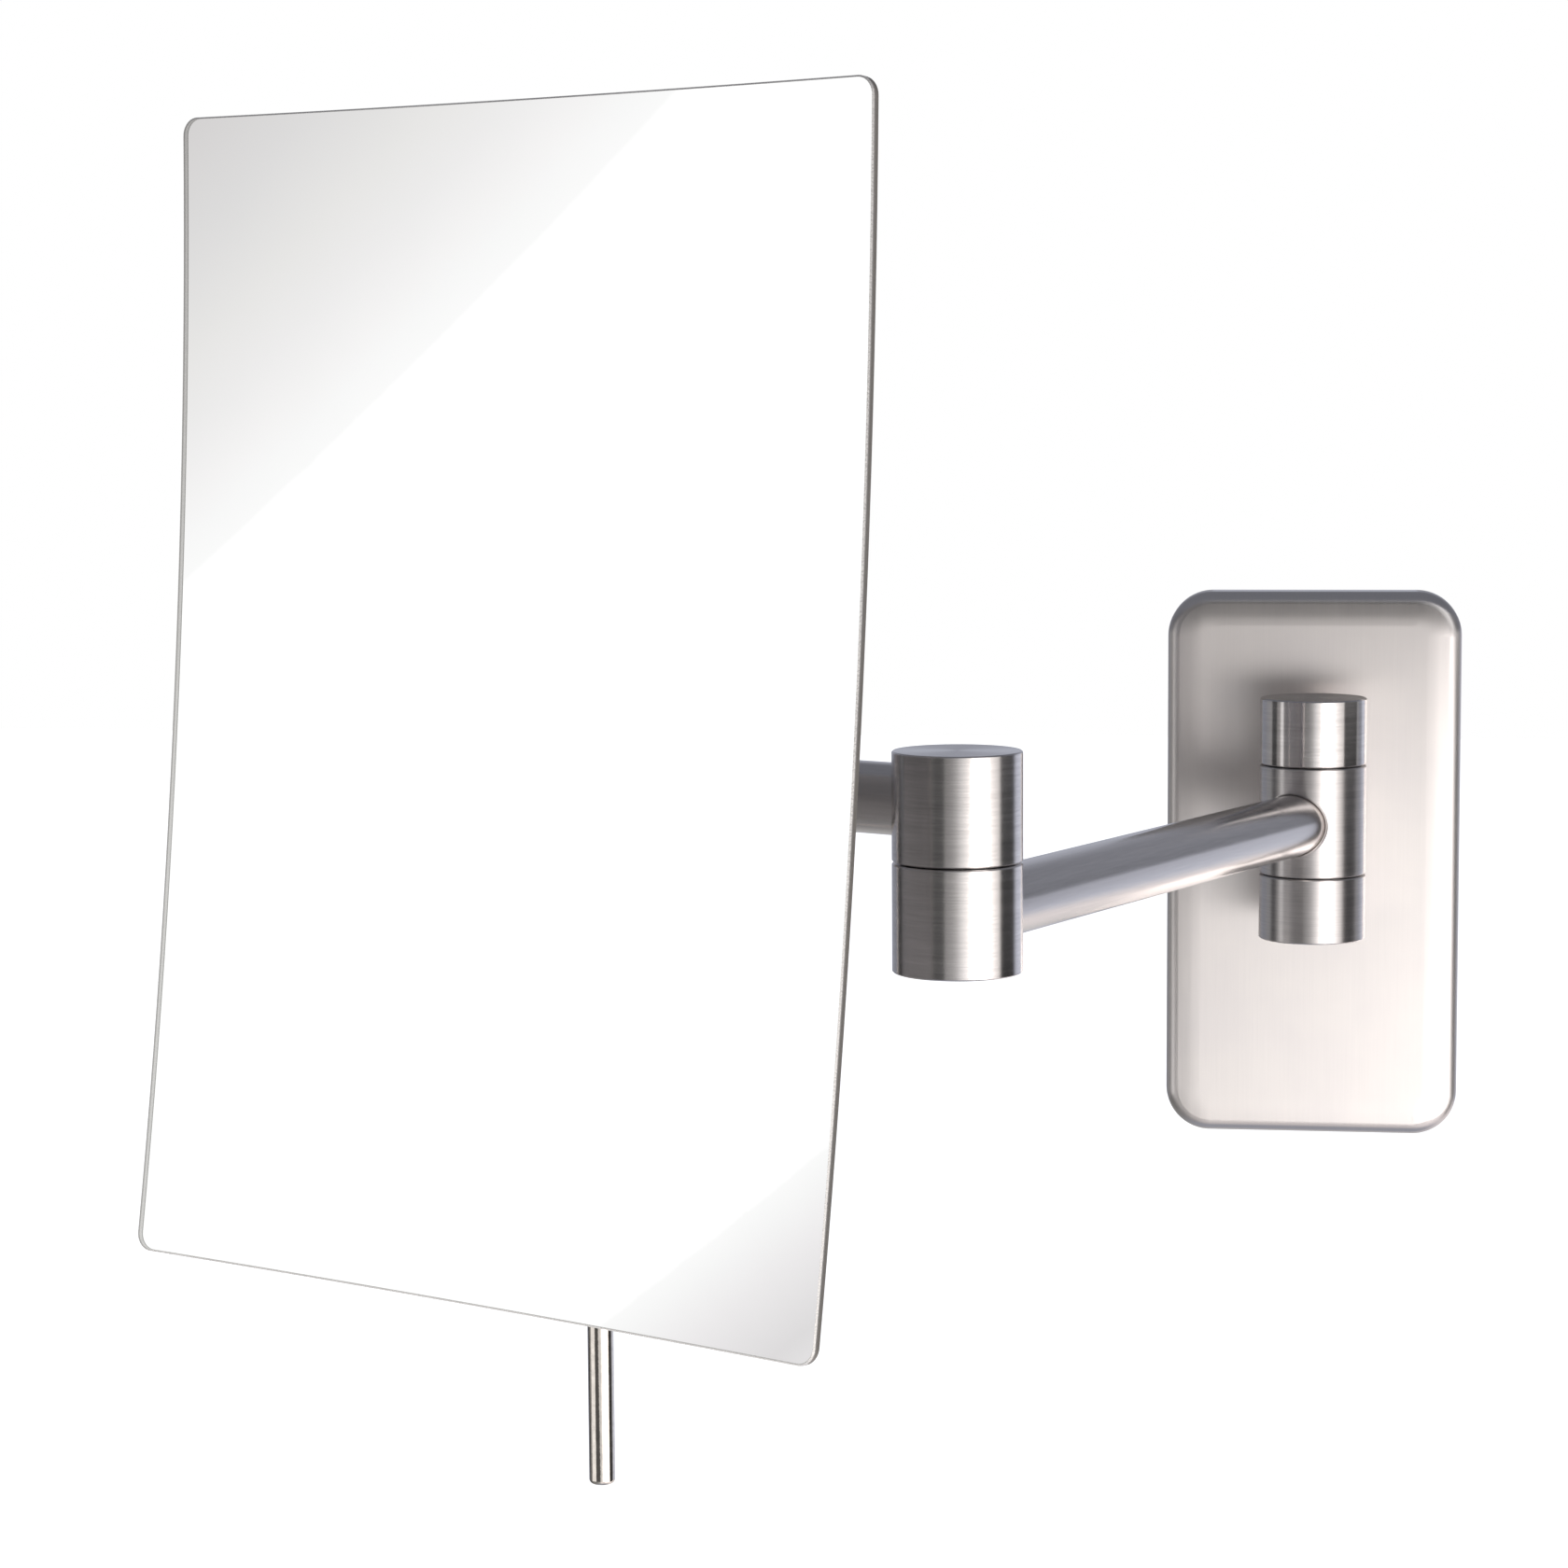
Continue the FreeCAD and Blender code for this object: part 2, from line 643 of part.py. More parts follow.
def rod_collar():
    """Collar under the knuckle that keeps the rod in it."""
    collar = barrel(COLLAR_R, COLLAR_HIGH - COLLAR_HEIGHT, COLLAR_HIGH)
    bore = disc(ROD_R + SEAT_FIT, COLLAR_HIGH - COLLAR_HEIGHT, COLLAR_HIGH)
    middle = COLLAR_HIGH - COLLAR_HEIGHT / 2
    screw_hole = bar(COLLAR_SCREW_R + SEAT_FIT, (-COLLAR_R - 1, 0, middle), (0, 0, middle))
    return collar.cut(bore).cut(screw_hole)


def collar_grub_screw():
    """Grub screw from the back of the collar onto the rod."""
    screw = grub_screw(COLLAR_SCREW_R, COLLAR_R - ROD_R - 2 * PIN_INSET)
    middle = COLLAR_HIGH - COLLAR_HEIGHT / 2
    screw.Placement = Placement(
        Vector(-COLLAR_R + PIN_INSET, 0, middle), Rotation(Vector(0, 0, 1), Vector(1, 0, 0))
    )
    return screw


# ---------------------------------------------------------------- mirror head
# Modelled about the tilt pivot: +X is the mirror's facing direction, Y is the pivot's axis.

MOUNT_PLATE_R = 30.0
MOUNT_PLATE_SHEET = 1.5
PAD_R = 28.0
PAD_THICKNESS = 1.3
BRACKET_BASE = 2.0
BRACKET_HALF_WIDTH = 13.0
BRACKET_HALF_HEIGHT = 11.0
BACKING_INSET = 0.5
EAR_INSIDE = 4.65
EAR_OUTSIDE = 7.05
RIVET_R = 1.6
RIVET_HEAD_R = 2.7
RIVET_HEAD = 1.0
RIVET_Y = 10.0
RIVET_Z = 7.5
TILT_NUT_FLATS = 8.0
TILT_NUT_HEIGHT = 3.6
TILT_SPRING_HEIGHT = 0.9
TILT_HEAD_R = 4.4
TILT_HEAD = 2.8
TILT_WASHER_R = 5.2

SHELL_BACK = PIVOT_TO_GLASS - GLASS_THICKNESS - BACKING_THICKNESS
PLATE_FRONT = SHELL_BACK - PAD_THICKNESS
PLATE_BACK = PLATE_FRONT - MOUNT_PLATE_SHEET
BASE_BACK = PLATE_BACK - BRACKET_BASE
CURVE_CENTRE = Vector(PIVOT_TO_GLASS + GLASS_CURVE_R, 0, 0)


def ball(depth):
    """Ball about the mirror's centre of curvature that reaches depth behind the glass face."""
    return Part.makeSphere(GLASS_CURVE_R + depth, CURVE_CENTRE)


def curved_sheet(width, height, corner_r, near, far):
    """Rectangular sheet curved with the mirror, between two depths behind the glass face."""
    blank = rounded_slab(width, height, corner_r, 0, PIVOT_TO_GLASS + height / 10)
    return blank.common(ball(far)).cut(ball(near))


def mirror_glass():
    """Rimless concave glass."""
    return curved_sheet(GLASS_WIDTH, GLASS_HEIGHT, GLASS_CORNER_R, 0, GLASS_THICKNESS)


def mirror_backing():
    """Protective sheet over the silvering."""
    return curved_sheet(
        GLASS_WIDTH - 2 * BACKING_INSET,
        GLASS_HEIGHT - 2 * BACKING_INSET,
        GLASS_CORNER_R - BACKING_INSET,
        GLASS_THICKNESS,
        GLASS_THICKNESS + BACKING_THICKNESS,
    )


def glue_pad():
    """Foam pad that fills between the flat plate and the curved back."""
    pad = bar(PAD_R, (PLATE_FRONT, 0, 0), (SHELL_BACK + 1, 0, 0))
    return pad.cut(ball(GLASS_THICKNESS + BACKING_THICKNESS))


def rivet_spots():
    return [(y, z) for y in (-RIVET_Y, RIVET_Y) for z in (-RIVET_Z, RIVET_Z)]


def rivet_holes():
    radius = RIVET_R + SEAT_FIT
    return group([bar(radius, (BASE_BACK, y, z), (PLATE_FRONT, y, z)) for y, z in rivet_spots()])


def mounting_plate():
    plate = bar(MOUNT_PLATE_R, (PLATE_BACK, 0, 0), (PLATE_FRONT, 0, 0))
    return plate.cut(rivet_holes())


def tilt_bracket():
    """Base with two ears, which straddle the yoke's tongue."""
    base = box(
        (BASE_BACK, -BRACKET_HALF_WIDTH, -BRACKET_HALF_HEIGHT),
        (PLATE_BACK, BRACKET_HALF_WIDTH, BRACKET_HALF_HEIGHT),
    )
    ears = []
    for side in (-1, 1):
        inner, outer = sorted((side * EAR_INSIDE, side * EAR_OUTSIDE))
        ears.append(box((0, inner, -TONGUE_R), (BASE_BACK, outer, TONGUE_R)))
        ears.append(bar(TONGUE_R, (0, inner, 0), (0, outer, 0)))
    shape = base.fuse(ears).removeSplitter()
    hole = bar(TILT_BOLT_R + SEAT_FIT, (0, -EAR_OUTSIDE, 0), (0, EAR_OUTSIDE, 0))
    return shape.cut(hole).cut(rivet_holes())


def bracket_rivets():
    solids = []
    for y, z in rivet_spots():
        shank = bar(RIVET_R, (BASE_BACK, y, z), (PLATE_FRONT, y, z))
        dome = Part.makeSphere(RIVET_HEAD_R, Vector(BASE_BACK + RIVET_HEAD_R - RIVET_HEAD, y, z))
        dome = dome.common(bar(RIVET_HEAD_R, (BASE_BACK - RIVET_HEAD, y, z), (BASE_BACK, y, z)))
        solids.append(shank.fuse(dome).removeSplitter())
    return group(solids)


def across_pivot(shape, y):
    """Turn a shape modelled along +Z so that it lies along +Y, from the given place."""
    shape.Placement = Placement(Vector(0, y, 0), Rotation(Vector(0, 0, 1), Vector(0, 1, 0)))
    return shape


def tilt_bolt():
    reach = 2 * EAR_OUTSIDE + TILT_SPRING_HEIGHT + TILT_NUT_HEIGHT + 1
    return across_pivot(socket_screw(TILT_BOLT_R, TILT_HEAD_R, TILT_HEAD, reach), -EAR_OUTSIDE)


def tilt_friction_washers():
    thickness = EAR_INSIDE - TONGUE_HALF - AXIAL_PLAY
    places = [-EAR_INSIDE, EAR_INSIDE - thickness]
    washer = ring(TILT_WASHER_R, TILT_BOLT_R + SEAT_FIT, 0, thickness)
    return group([across_pivot(washer.copy(), y) for y in places])


def tilt_spring_washer():
    washer = dished_washer(
        TILT_HEAD_R, TILT_BOLT_R + SEAT_FIT, SPRING_SHEET, 0, TILT_SPRING_HEIGHT
    )
    return across_pivot(washer, EAR_OUTSIDE)


def tilt_nut():
    nut = hex_prism(TILT_NUT_FLATS, 0, TILT_NUT_HEIGHT)
    nut = nut.cut(disc(TILT_BOLT_R + SEAT_FIT, 0, TILT_NUT_HEIGHT))
    return across_pivot(nut, EAR_OUTSIDE + TILT_SPRING_HEIGHT)


# ---------------------------------------------------------------- the assembly

FIXED_POST_FRAME = upright(0, -POST_STANDOFF, 0)

PIECES = [
    (WALL_FRAME, [
        wall_cover, wall_bracket, cover_set_screw, stiffener_plate,
        post_standoffs, standoff_screws, standoff_washers,
    ]),
    (FIXED_POST_FRAME, [
        post_cap_lower, post_cap_upper, post_spindle, post_plug,
        post_friction_washers, post_spring_washer,
    ]),
    (POST_FRAME, [post_knuckle, post_bushes, main_arm_tube, main_arm_pins]),
    (ELBOW_LOWER_FRAME, [elbow_lower_barrel, elbow_bush, elbow_plug]),
    (ELBOW_UPPER_FRAME, [
        elbow_upper_barrel, elbow_spindle, elbow_friction_washer, elbow_spring_washer,
        elbow_nut, short_arm_tube, short_arm_pins,
    ]),
    (HEAD_LOWER_FRAME, [head_knuckle, head_bush]),
    (HEAD_FRAME, [
        head_yoke, handle_rod, head_friction_washer, head_spring_washer,
        rod_collar, collar_grub_screw,
    ]),
    (TILT_FRAME, [
        mirror_glass, mirror_backing, glue_pad, mounting_plate, tilt_bracket, bracket_rivets,
        tilt_bolt, tilt_friction_washers, tilt_spring_washer, tilt_nut,
    ]),
]


def main():
    os.makedirs("parts", exist_ok=True)
    for frame, makers in PIECES:
        for make in makers:
            shape = make()
            shape.Placement = frame.multiply(shape.Placement)
            shape.exportStep(os.path.join("parts", make.__name__ + ".step"))
            print(make.__name__, len(shape.Solids), round(shape.Volume, 1), shape.isValid())


main()
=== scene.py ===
import json
import math

import bmesh
import bpy
from mathutils import Matrix, Vector


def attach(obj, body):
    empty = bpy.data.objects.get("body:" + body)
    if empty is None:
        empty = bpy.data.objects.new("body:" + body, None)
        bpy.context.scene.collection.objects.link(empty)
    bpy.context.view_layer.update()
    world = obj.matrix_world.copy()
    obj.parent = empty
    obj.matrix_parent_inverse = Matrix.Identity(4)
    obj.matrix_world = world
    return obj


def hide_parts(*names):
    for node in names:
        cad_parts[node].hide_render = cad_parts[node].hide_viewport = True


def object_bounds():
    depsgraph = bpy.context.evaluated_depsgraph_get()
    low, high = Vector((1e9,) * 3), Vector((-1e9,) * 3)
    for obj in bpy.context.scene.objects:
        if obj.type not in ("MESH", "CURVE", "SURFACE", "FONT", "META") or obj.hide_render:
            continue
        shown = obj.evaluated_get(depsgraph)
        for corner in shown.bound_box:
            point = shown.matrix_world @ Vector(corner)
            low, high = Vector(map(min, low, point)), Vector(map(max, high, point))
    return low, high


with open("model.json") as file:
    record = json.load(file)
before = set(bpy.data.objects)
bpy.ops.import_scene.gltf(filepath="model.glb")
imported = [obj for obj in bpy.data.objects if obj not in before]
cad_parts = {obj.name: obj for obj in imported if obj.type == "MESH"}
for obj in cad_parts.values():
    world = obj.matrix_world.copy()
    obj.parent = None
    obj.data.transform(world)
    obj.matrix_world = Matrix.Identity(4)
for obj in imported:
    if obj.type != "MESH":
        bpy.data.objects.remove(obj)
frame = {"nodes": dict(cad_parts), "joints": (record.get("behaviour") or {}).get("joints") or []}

CAD_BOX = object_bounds()
MM = 0.001
NODES = frame["nodes"]


# ---------------------------------------------------------------- small helpers

def joint(name):
    """The record's entry for one joint."""
    return next(j for j in frame["joints"] if j["name"] == name)


def srgb(red, green, blue):
    """Linear colour from the usual 0 to 255 screen values."""
    def linear(value):
        value = value / 255
        return value / 12.92 if value <= 0.04045 else ((value + 0.055) / 1.055) ** 2.4
    return (linear(red), linear(green), linear(blue), 1.0)


def smoothstep(tree, value, low, high):
    """Node output that goes smoothly from 0 at low to 1 at high."""
    node = tree.nodes.new("ShaderNodeMapRange")
    node.interpolation_type = "SMOOTHSTEP"
    tree.links.new(value, node.inputs["Value"])
    node.inputs["From Min"].default_value = low
    node.inputs["From Max"].default_value = high
    return node.outputs["Result"]


def remap(tree, value, low, high, to_low, to_high):
    """Node output that maps low..high to to_low..to_high."""
    node = tree.nodes.new("ShaderNodeMapRange")
    tree.links.new(value, node.inputs["Value"])
    node.inputs["From Min"].default_value = low
    node.inputs["From Max"].default_value = high
    node.inputs["To Min"].default_value = to_low
    node.inputs["To Max"].default_value = to_high
    return node.outputs["Result"]


def ramp(tree, value, stops, interpolation="EASE"):
    """Colour ramp through (place, colour) stops."""
    node = tree.nodes.new("ShaderNodeValToRGB")
    node.color_ramp.interpolation = interpolation
    elements = node.color_ramp.elements
    while len(elements) < len(stops):
        elements.new(0.5)
    for element, (place, colour) in zip(elements, stops):
        element.position = place
        element.color = colour
    tree.links.new(value, node.inputs["Fac"])
    return node.outputs["Color"]


def mix(tree, factor, first, second, blend="MIX"):
    """Colour mix; first and second are outputs or plain colours."""
    node = tree.nodes.new("ShaderNodeMix")
    node.data_type = "RGBA"
    node.blend_type = blend
    for value, socket in ((factor, node.inputs[0]), (first, node.inputs[6]), (second, node.inputs[7])):
        if hasattr(value, "is_linked"):
            tree.links.new(value, socket)
        else:
            socket.default_value = value
    return node.outputs[2]


def maths(tree, operation, first, second=0.0):
    """Math node; first and second are outputs or plain numbers."""
    node = tree.nodes.new("ShaderNodeMath")
    node.operation = operation
    for value, socket in ((first, node.inputs[0]), (second, node.inputs[1])):
        if hasattr(value, "is_linked"):
            tree.links.new(value, socket)
        else:
            socket.default_value = value
    return node.outputs[0]


def dot(tree, vector, direction):
    """Dot product of a vector output with a fixed direction."""
    node = tree.nodes.new("ShaderNodeVectorMath")
    node.operation = "DOT_PRODUCT"
    tree.links.new(vector, node.inputs[0])
    node.inputs[1].default_value = direction
    return node.outputs["Value"]


# ---------------------------------------------------------------- camera

CAMERA_PLACE = Vector((1.05, -848.0, 108.9)) * MM
CAMERA_YAW = math.radians(8.27)
CAMERA_DOWN = math.radians(6.16)
CAMERA_ROLL = math.radians(0.39)
CAMERA_LENS = 84.8
CAMERA_SENSOR = 36.0
CAMERA_NEAR, CAMERA_FAR = 0.01, 100.0


def make_camera():
    """Camera in front of the mirror, looking slightly down and to the left."""
    data = bpy.data.cameras.new("camera")
    data.sensor_width = CAMERA_SENSOR
    data.lens = CAMERA_LENS
    data.clip_start = CAMERA_NEAR
    data.clip_end = CAMERA_FAR
    camera = bpy.data.objects.new("camera", data)
    turn = (
        Matrix.Rotation(CAMERA_YAW, 4, "Z")
        @ Matrix.Rotation(-CAMERA_DOWN, 4, "X")
        @ Matrix.Rotation(CAMERA_ROLL, 4, "Y")
    )
    look_along_y = Matrix.Rotation(math.pi / 2, 4, "X")
    camera.matrix_world = Matrix.Translation(CAMERA_PLACE) @ turn @ look_along_y
    bpy.context.scene.collection.objects.link(camera)
    bpy.context.scene.camera = camera


# ---------------------------------------------------------------- studio

def around(degrees):
    """Place on an azimuth ramp: 0 is the viewer's side (-Y), positive is to the right (+X)."""
    return (degrees + 180) / 360


def grey(value, tint=(1.0, 1.0, 1.0)):
    """Grey light, tinted."""
    return (value * tint[0], value * tint[1], value * tint[2], 1.0)


WARM = (1.03, 1.0, 0.98)
COOL = (0.92, 0.97, 1.12)
PINK = (1.03, 0.98, 0.99)

EYE_LEVEL_LIGHTS = [
    (-180, grey(0.60, COOL)), (-150, grey(0.35, COOL)), (-130, grey(0.28, COOL)),
    (-104, grey(0.36)), (-90, grey(0.32)), (-76, grey(0.36, WARM)), (-48, grey(0.30, WARM)),
    (-38, grey(0.14)), (-32, grey(0.09)), (20, grey(0.13)), (66, grey(0.85)), (92, grey(0.75)),
    (108, grey(0.36)), (120, grey(0.32, COOL)), (127, grey(0.44, COOL)), (132, grey(0.74, COOL)),
    (142, grey(0.80, COOL)), (160, grey(0.80, COOL)), (180, grey(0.60, COOL)),
]
HIGH_LIGHTS = [
    (-180, grey(0.53, COOL)), (-130, grey(0.24, COOL)), (-60, grey(0.08)),
    (0, grey(0.05)), (60, grey(0.08)), (105, grey(0.17, COOL)),
    (131, grey(0.26, COOL)), (180, grey(0.53, COOL)),
]
LOW_LIGHTS = [
    (-180, grey(0.60)), (-130, grey(0.26)), (-50, grey(0.24)), (-15, grey(0.40)),
    (5, grey(0.95, PINK)), (60, grey(1.10, PINK)), (110, grey(0.90, PINK)),
    (150, grey(0.95, PINK)), (180, grey(0.60)),
]
OVERHEAD = grey(0.19, COOL)
UNDERNEATH = grey(0.40, COOL)
# where one band gives way to the next, as the height of the direction: 0 is level, 1 is straight up
EYE_TO_HIGH = (0.00, 0.06)
HIGH_TO_OVERHEAD = (0.30, 0.60)
EYE_TO_LOW = (-0.28, -0.45)
LOW_TO_UNDERNEATH = (-0.80, -0.95)


def make_world():
    """Studio light by direction: eye-level soft boxes and dark gaps, dimmer above, pale below."""
    world = bpy.data.worlds.new("studio")
    bpy.context.scene.world = world
    world.use_nodes = True
    tree = world.node_tree
    tree.nodes.clear()
    output = tree.nodes.new("ShaderNodeOutputWorld")
    coords = tree.nodes.new("ShaderNodeTexCoord").outputs["Generated"]
    split = tree.nodes.new("ShaderNodeSeparateXYZ")
    tree.links.new(coords, split.inputs[0])
    x, y, z = split.outputs

    azimuth = maths(tree, "ARCTAN2", x, maths(tree, "MULTIPLY", y, -1.0))
    turn = remap(tree, azimuth, -math.pi, math.pi, 0.0, 1.0)
    eye = ramp(tree, turn, [(around(a), c) for a, c in EYE_LEVEL_LIGHTS], "LINEAR")
    high = ramp(tree, turn, [(around(a), c) for a, c in HIGH_LIGHTS], "LINEAR")
    low = ramp(tree, turn, [(around(a), c) for a, c in LOW_LIGHTS], "LINEAR")
    colour = mix(tree, smoothstep(tree, z, *EYE_TO_HIGH), eye, high)
    colour = mix(tree, smoothstep(tree, z, *HIGH_TO_OVERHEAD), colour, OVERHEAD)
    colour = mix(tree, smoothstep(tree, z, *EYE_TO_LOW), colour, low)
    colour = mix(tree, smoothstep(tree, z, *LOW_TO_UNDERNEATH), colour, UNDERNEATH)

    light = tree.nodes.new("ShaderNodeBackground")
    tree.links.new(colour, light.inputs["Color"])
    backdrop = tree.nodes.new("ShaderNodeBackground")
    backdrop.inputs["Color"].default_value = (1, 1, 1, 1)
    backdrop.inputs["Strength"].default_value = 1.0
    rays = tree.nodes.new("ShaderNodeLightPath")
    chooser = tree.nodes.new("ShaderNodeMixShader")
    tree.links.new(rays.outputs["Is Camera Ray"], chooser.inputs[0])
    tree.links.new(light.outputs[0], chooser.inputs[1])
    tree.links.new(backdrop.outputs[0], chooser.inputs[2])
    tree.links.new(chooser.outputs[0], output.inputs["Surface"])


FLOOR_DROP = 0.15
FLOOR_SIZE = 6.0
FLOOR_COLOUR = grey(0.9)
FLOOR_ROUGHNESS = 0.9


def make_floor():
    """Plain pale floor well under the mirror."""
    height = CAD_BOX[0][2] - FLOOR_DROP
    half = FLOOR_SIZE / 2
    sides = ((-half, -half), (half, -half), (half, half), (-half, half))
    corners = [(x, y, height) for x, y in sides]
    mesh = bpy.data.meshes.new("floor")
    mesh.from_pydata(corners, [], [(0, 1, 2, 3)])
    floor = bpy.data.objects.new("floor", mesh)
    bpy.context.scene.collection.objects.link(floor)
    material = bpy.data.materials.new("pale_floor")
    material.use_nodes = True
    shader = material.node_tree.nodes["Principled BSDF"]
    shader.inputs["Base Color"].default_value = FLOOR_COLOUR
    shader.inputs["Roughness"].default_value = FLOOR_ROUGHNESS
    shader.inputs["Emission Color"].default_value = (1, 1, 1, 1)
    shader.inputs["Emission Strength"].default_value = 1.0
    mesh.materials.append(material)
    floor.visible_glossy = False


WHITE = (1.06, 1.06, 1.06, 1.0)
BLACK = grey(0.045)
# tones along each card: millimetres from its origin, and the light there
SOFTBOX_TONES = [
    (-824, grey(0.13)), (-412, grey(0.22)), (-247, grey(0.30)), (-82, grey(0.48)),
    (0, grey(0.62)), (165, grey(1.10)), (289, grey(1.5, WARM)), (396, grey(3.0, WARM)),
    (577, grey(3.0, WARM)), (660, grey(1.6, WARM)), (742, grey(1.3, WARM)), (857, grey(0.80, WARM)),
]
MIRROR_CARD_TONES = [
    (-150, WHITE), (-114, srgb(222, 220, 221)), (-101, srgb(238, 236, 237)), (-92, srgb(248, 248, 248)),
    (-88.4, srgb(252, 252, 252)), (-88.0, WHITE), (75.0, WHITE), (75.4, srgb(252, 252, 252)),
    (81, srgb(249, 249, 249)), (86, srgb(246, 245, 245)), (96, srgb(238, 237, 237)),
    (106, srgb(232, 231, 230)), (121, srgb(221, 220, 220)), (134, srgb(214, 212, 212)),
    (170, srgb(205, 203, 203)),
]
LOW_FILL_TONES = [(-824, grey(0.75)), (0, grey(0.80))]
# each card, in millimetres and degrees: origin, level direction, far left, far right, bottom, top,
# fades at bottom and top, lean of its tones, light at the bottom compared with the top, tones
CARDS = {
    "softbox": ((0, -915, 0), (490, 663), -824, 857, -420, 60, (1, 60), 0, 1.45, SOFTBOX_TONES),
    "low_fill": ((0, -905, 0), (490, 663), -824, 0, -420, -160, (1, 70), 0, 1, LOW_FILL_TONES),
    "right_flag": (
        (510, -225, 0), (-180, 285), 0, 340, -420, 60, (1, 60), 0, 1, [(0, BLACK), (340, BLACK)],
    ),
    "left_flag": (
        (-447, -81, 0), (32, 113), 0, 117, -420, 60, (1, 60), 0, 1, [(0, BLACK), (117, BLACK)],
    ),
    "mirror_card": (
        (-532.8, -343.3, 50.2), (-0.406, 0.914), -160, 160, -350, 190, (1, 5), 34.5, 1,
        MIRROR_CARD_TONES,
    ),
}
# heights between which a card's light goes from 1 to its gain
GAIN_TOP, GAIN_BOTTOM = 20, -220


def make_card(name, origin, along, left, right, bottom, top, fades, lean, gain, tones):
    """Upright studio card that only reflections see."""
    origin = Vector(origin)
    along = Vector(along + (0,)).normalized()
    rise = Vector((0, 0, 1))
    mesh = bpy.data.meshes.new(name)
    sides = ((left, bottom), (right, bottom), (right, top), (left, top))
    corners = [(origin + along * across + rise * height) * MM for across, height in sides]
    mesh.from_pydata(corners, [], [(0, 1, 2, 3)])
    card = bpy.data.objects.new(name, mesh)
    bpy.context.scene.collection.objects.link(card)

    material = bpy.data.materials.new(name)
    material.use_nodes = True
    tree = material.node_tree
    tree.nodes.clear()
    coords = tree.nodes.new("ShaderNodeTexCoord").outputs["Object"]
    place = vector_maths(tree, "SUBTRACT", coords, origin * MM)
    angle = math.radians(lean)
    tone_way = along * math.cos(angle) + rise * math.sin(angle)
    first, last = tones[0][0], tones[-1][0]
    share = remap(tree, dot(tree, place, tone_way), first * MM, last * MM, 0.0, 1.0)
    stops = [((spot - first) / (last - first), tone) for spot, tone in tones]
    glow = tree.nodes.new("ShaderNodeEmission")
    tree.links.new(ramp(tree, share, stops, "LINEAR"), glow.inputs["Color"])
    height = dot(tree, coords, rise)
    strength = remap(tree, height, GAIN_TOP * MM, GAIN_BOTTOM * MM, 1.0, gain)
    tree.links.new(strength, glow.inputs["Strength"])
    clear = tree.nodes.new("ShaderNodeBsdfTransparent")
    end = dot(tree, place, rise)
    fade_up = smoothstep(tree, end, (top - fades[1]) * MM, top * MM)
    fade_down = smoothstep(tree, end, (bottom + fades[0]) * MM, bottom * MM)
    blend = tree.nodes.new("ShaderNodeMixShader")
    tree.links.new(maths(tree, "MAXIMUM", fade_up, fade_down), blend.inputs[0])
    tree.links.new(glow.outputs[0], blend.inputs[1])
    tree.links.new(clear.outputs[0], blend.inputs[2])
    output = tree.nodes.new("ShaderNodeOutputMaterial")
    tree.links.new(blend.outputs[0], output.inputs["Surface"])
    mesh.materials.append(material)
    card.visible_camera = False
    card.visible_diffuse = False
    card.visible_shadow = False


KEY_WIDTH, KEY_HEIGHT = 0.7, 0.9
KEY_POWER = 3.0
KEY_PLACE = Vector((0.95, -1.1, 0.55))
KEY_TARGET = Vector((-0.05, -0.1, 0.03))


def make_key_light():
    """Large soft box to the right of the viewer."""
    data = bpy.data.lights.new("key_softbox", "AREA")
    data.shape = "RECTANGLE"
    data.size = KEY_WIDTH
    data.size_y = KEY_HEIGHT
    data.energy = KEY_POWER
    light = bpy.data.objects.new("key_softbox", data)
    light.location = KEY_PLACE
    aim = KEY_TARGET - light.location
    light.rotation_mode = "QUATERNION"
    light.rotation_quaternion = aim.to_track_quat("-Z", "Y")
    bpy.context.scene.collection.objects.link(light)


# ---------------------------------------------------------------- materials

def new_material(name):
    """New material with its node tree and its shader."""
    material = bpy.data.materials.new(name)
    material.use_nodes = True
    return material, material.node_tree, material.node_tree.nodes["Principled BSDF"]


# a noise stays mostly between these, so they are spread to the full range
NOISE_LOW, NOISE_HIGH = 0.3, 0.7


def stretch(tree, pattern, to_low, to_high):
    """Noise spread over a range."""
    return remap(tree, pattern, NOISE_LOW, NOISE_HIGH, to_low, to_high)


def tones_of(tree, pattern, colour, darker, lighter):
    """Colour that varies with a noise, from darker to lighter times the colour."""
    dark = tuple(c * darker for c in colour[:3]) + (1,)
    light = tuple(min(1.0, c * lighter) for c in colour[:3]) + (1,)
    return mix(tree, stretch(tree, pattern, 0.0, 1.0), dark, light)


def object_point(tree, scale):
    """The point's place on its own piece, each axis scaled, for textures in metres."""
    coords = tree.nodes.new("ShaderNodeTexCoord")
    mapping = tree.nodes.new("ShaderNodeMapping")
    mapping.inputs["Scale"].default_value = scale
    tree.links.new(coords.outputs["Object"], mapping.inputs["Vector"])
    return mapping.outputs["Vector"]


def noise(tree, vector, scale=1.0, detail=2.0, roughness=0.5):
    """Noise at a vector output, mostly between NOISE_LOW and NOISE_HIGH."""
    node = tree.nodes.new("ShaderNodeTexNoise")
    node.inputs["Scale"].default_value = scale
    node.inputs["Detail"].default_value = detail
    node.inputs["Roughness"].default_value = roughness
    tree.links.new(vector, node.inputs["Vector"])
    return node.outputs["Fac"]


def blend_of(tree, fine, coarse, share):
    """Sum of two noises, share of the fine one and the rest of the coarse one."""
    fine_part = maths(tree, "MULTIPLY", fine, share)
    coarse_part = maths(tree, "MULTIPLY", coarse, 1 - share)
    return maths(tree, "ADD", fine_part, coarse_part)


